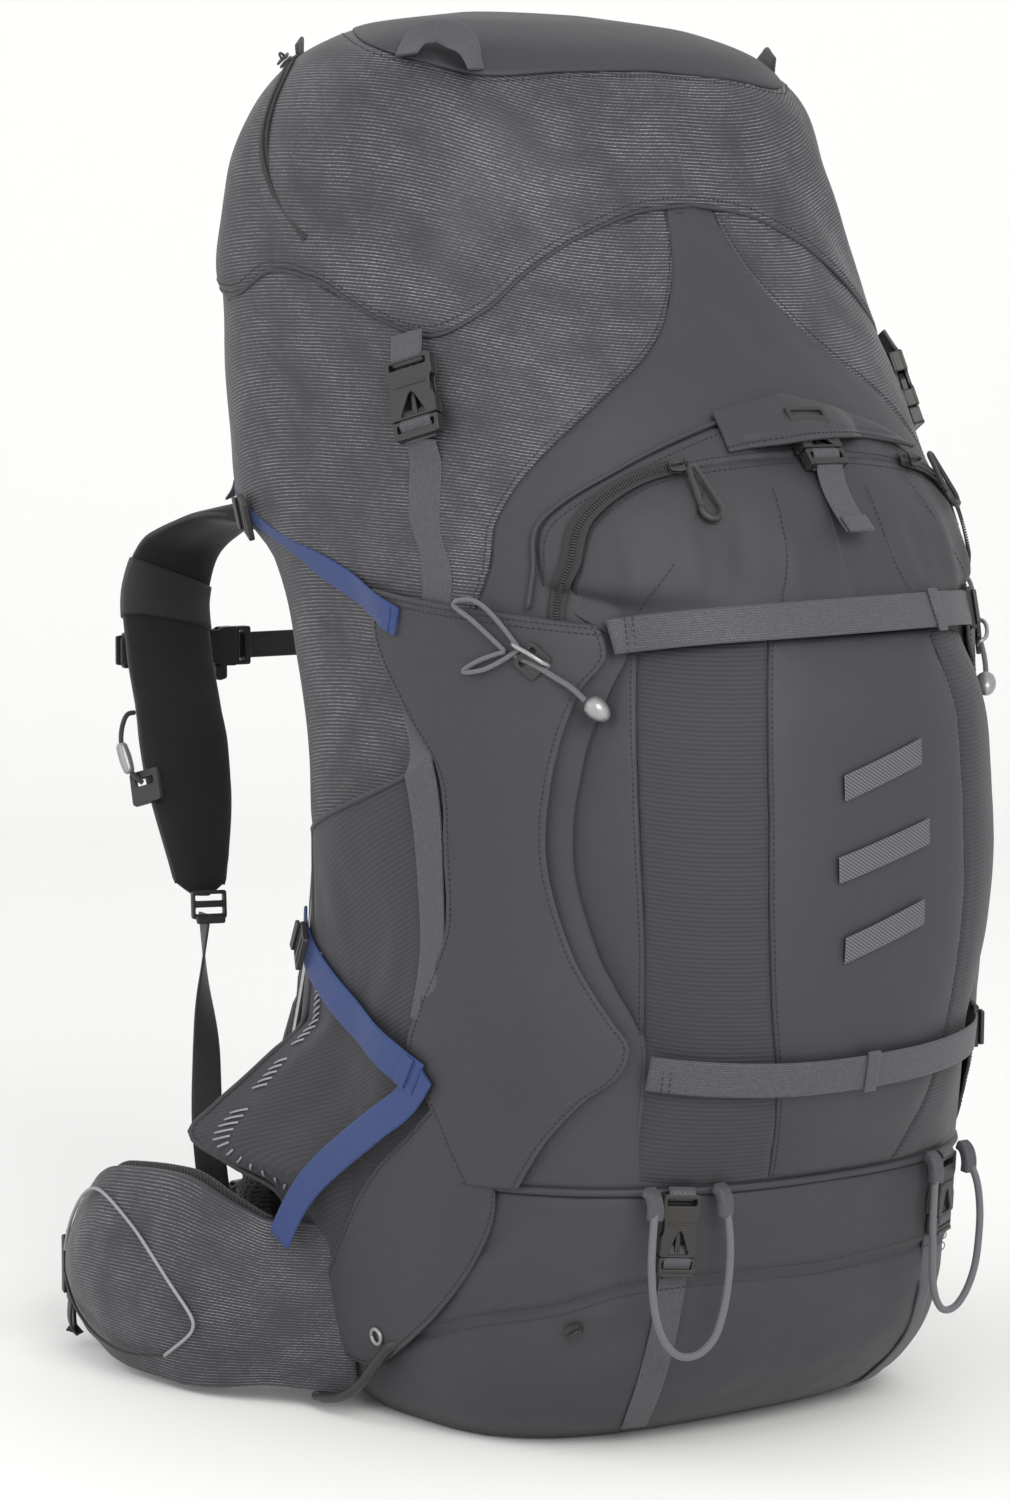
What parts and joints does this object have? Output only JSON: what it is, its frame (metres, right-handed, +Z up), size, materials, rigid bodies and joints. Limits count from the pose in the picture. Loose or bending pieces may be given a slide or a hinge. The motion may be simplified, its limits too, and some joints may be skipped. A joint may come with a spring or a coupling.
{
  "type": "trekking backpack",
  "caption": "Tall hooded trekking backpack with a front pocket, side wings, side webbing, internal frame, padded shoulder harness and hip belt, standing upright.",
  "frame": {"origin": "middle of the flat underside that the pack stands on", "axes": "+Z up along the pack, -Y the outer front, +Y the wearer's side, +X the right side seen from the front"},
  "size_m": [0.476, 0.6113, 0.84],
  "materials": {
    "smooth_nylon": "plain woven pack cloth, matt",
    "dashed_ripstop": "ripstop with light dashes",
    "stretch_woven": "two-way stretch weave",
    "grey_webbing": "flat woven webbing",
    "blue_webbing": "flat woven webbing",
    "black_foam_mesh": "foam covered in spacer mesh",
    "acetal": "moulded, satin",
    "silver_plastic": "moulded, glossy",
    "aluminium": "drawn, satin",
    "frame_plastic": "sheet, matt",
    "cord": "braided sheath"
  },
  "bodies": {
    "bag": {"base_compartment": "smooth_nylon", "main_bag": "dashed_ripstop", "front_pocket": "smooth_nylon", "pocket_flap": "smooth_nylon", "wing_left": "smooth_nylon", "wing_right": "smooth_nylon", "side_pocket_left": "stretch_woven", "side_pocket_right": "stretch_woven", "frame_hoop": "aluminium", "frame_sheet": "frame_plastic", "centre_stay": "aluminium", "back_panel": "black_foam_mesh", "lumbar_pad": "black_foam_mesh", "upper_front_strap": "grey_webbing", "lower_front_strap": "grey_webbing", "upper_side_strap_left": "blue_webbing", "upper_side_strap_right": "blue_webbing", "lower_side_strap_left": "blue_webbing", "lower_side_strap_right": "blue_webbing", "hood_strap_left": "grey_webbing", "hood_strap_right": "grey_webbing", "centre_buckle_socket": "acetal", "base_buckle_socket_left": "acetal", "base_buckle_socket_right": "acetal", "base_strap_left": "grey_webbing", "base_strap_right": "grey_webbing", "axe_loop_left": "cord", "axe_loop_right": "cord", "tie_cord_left": "cord", "tie_cord_right": "cord", "tie_ball_left": "silver_plastic", "tie_ball_right": "silver_plastic", "pole_loop": "cord"},
    "hood": {"hood": "dashed_ripstop", "hood_hinge_strap": "grey_webbing", "hood_lash_loop": "grey_webbing", "hood_buckle_socket_left": "acetal", "hood_buckle_socket_right": "acetal"},
    "hood_plug_left": {"hood_buckle_plug_left": "acetal"},
    "hood_plug_right": {"hood_buckle_plug_right": "acetal"},
    "centre_plug": {"centre_buckle_plug": "acetal"},
    "base_plug_left": {"base_buckle_plug_left": "acetal"},
    "base_plug_right": {"base_buckle_plug_right": "acetal"},
    "haul_loop": {"haul_loop": "grey_webbing"},
    "harness": {"yoke": "black_foam_mesh", "shoulder_pad_left": "black_foam_mesh", "shoulder_pad_right": "black_foam_mesh", "load_lifter_left": "grey_webbing", "load_lifter_right": "grey_webbing", "shoulder_tail_left": "grey_webbing", "shoulder_tail_right": "grey_webbing", "chest_cord": "cord"},
    "chest_strap": {"chest_strap_left": "grey_webbing"},
    "chest_plug": {"chest_strap_right": "grey_webbing"},
    "belt_left": {"hip_wing_left": "dashed_ripstop", "belt_strap_left": "grey_webbing"},
    "belt_right": {"hip_wing_right": "dashed_ripstop"},
    "belt_plug": {"belt_strap_right": "grey_webbing"},
    "zip_pull_left": {"zip_pull_left": "acetal"},
    "zip_pull_right": {"zip_pull_right": "acetal"}
  },
  "joints": [
    {"name": "hood_hinge", "type": "hinge", "parent": "bag", "child": "hood", "pos_m": [0, 0.222, 0.56], "axis": [-1, 0, 0], "range_deg": [0, 95]},
    {"name": "hood_release_left", "type": "slide", "parent": "bag", "child": "hood_plug_left", "axis": [-0.1111, -0.3531, -0.929], "range_m": [0, 0.026]},
    {"name": "hood_release_right", "type": "slide", "parent": "bag", "child": "hood_plug_right", "axis": [0.1111, -0.3531, -0.929], "range_m": [0, 0.026]},
    {"name": "centre_release", "type": "slide", "parent": "bag", "child": "centre_plug", "axis": [0.0123, -0.6129, -0.79], "range_m": [0, 0.018]},
    {"name": "base_release_left", "type": "slide", "parent": "bag", "child": "base_plug_left", "axis": [-0.0233, 0.1013, -0.9946], "range_m": [0, 0.026]},
    {"name": "base_release_right", "type": "slide", "parent": "bag", "child": "base_plug_right", "axis": [0.0233, 0.1013, -0.9946], "range_m": [0, 0.026]},
    {"name": "haul_loop_swing", "type": "hinge", "parent": "bag", "child": "haul_loop", "pos_m": [0, 0.188, 0.534], "axis": [1, 0, 0], "range_deg": [-80, 0]},
    {"name": "torso_adjust", "type": "slide", "parent": "bag", "child": "harness", "axis": [0, 0, 1], "range_m": [-0.045, 0]},
    {"name": "chest_height", "type": "slide", "parent": "harness", "child": "chest_strap", "axis": [0, 0.42, 0.9075], "range_m": [-0.025, 0.025]},
    {"name": "chest_release", "type": "slide", "parent": "chest_strap", "child": "chest_plug", "axis": [1, 0, 0], "range_m": [0, 0.026]},
    {"name": "belt_wing_left", "type": "hinge", "parent": "bag", "child": "belt_left", "pos_m": [-0.196, 0.086, 0.07], "axis": [0, 0, 1], "range_deg": [0, 40]},
    {"name": "belt_wing_right", "type": "hinge", "parent": "bag", "child": "belt_right", "pos_m": [0.196, 0.086, 0.07], "axis": [0, 0, -1], "range_deg": [0, 40]},
    {"name": "belt_release", "type": "slide", "parent": "belt_right", "child": "belt_plug", "axis": [1, 0, 0], "range_m": [0, 0.026]},
    {"name": "zip_pull_left_swing", "type": "hinge", "parent": "bag", "child": "zip_pull_left", "pos_m": [-0.08407, -0.17078, 0.57], "axis": [-0.9637, 0.16, -0.2136], "range_deg": [0, 100]},
    {"name": "zip_pull_right_swing", "type": "hinge", "parent": "bag", "child": "zip_pull_right", "pos_m": [0.11615, -0.1538, 0.574], "axis": [-0.8743, -0.4748, -0.101], "range_deg": [0, 100]}
  ]
}
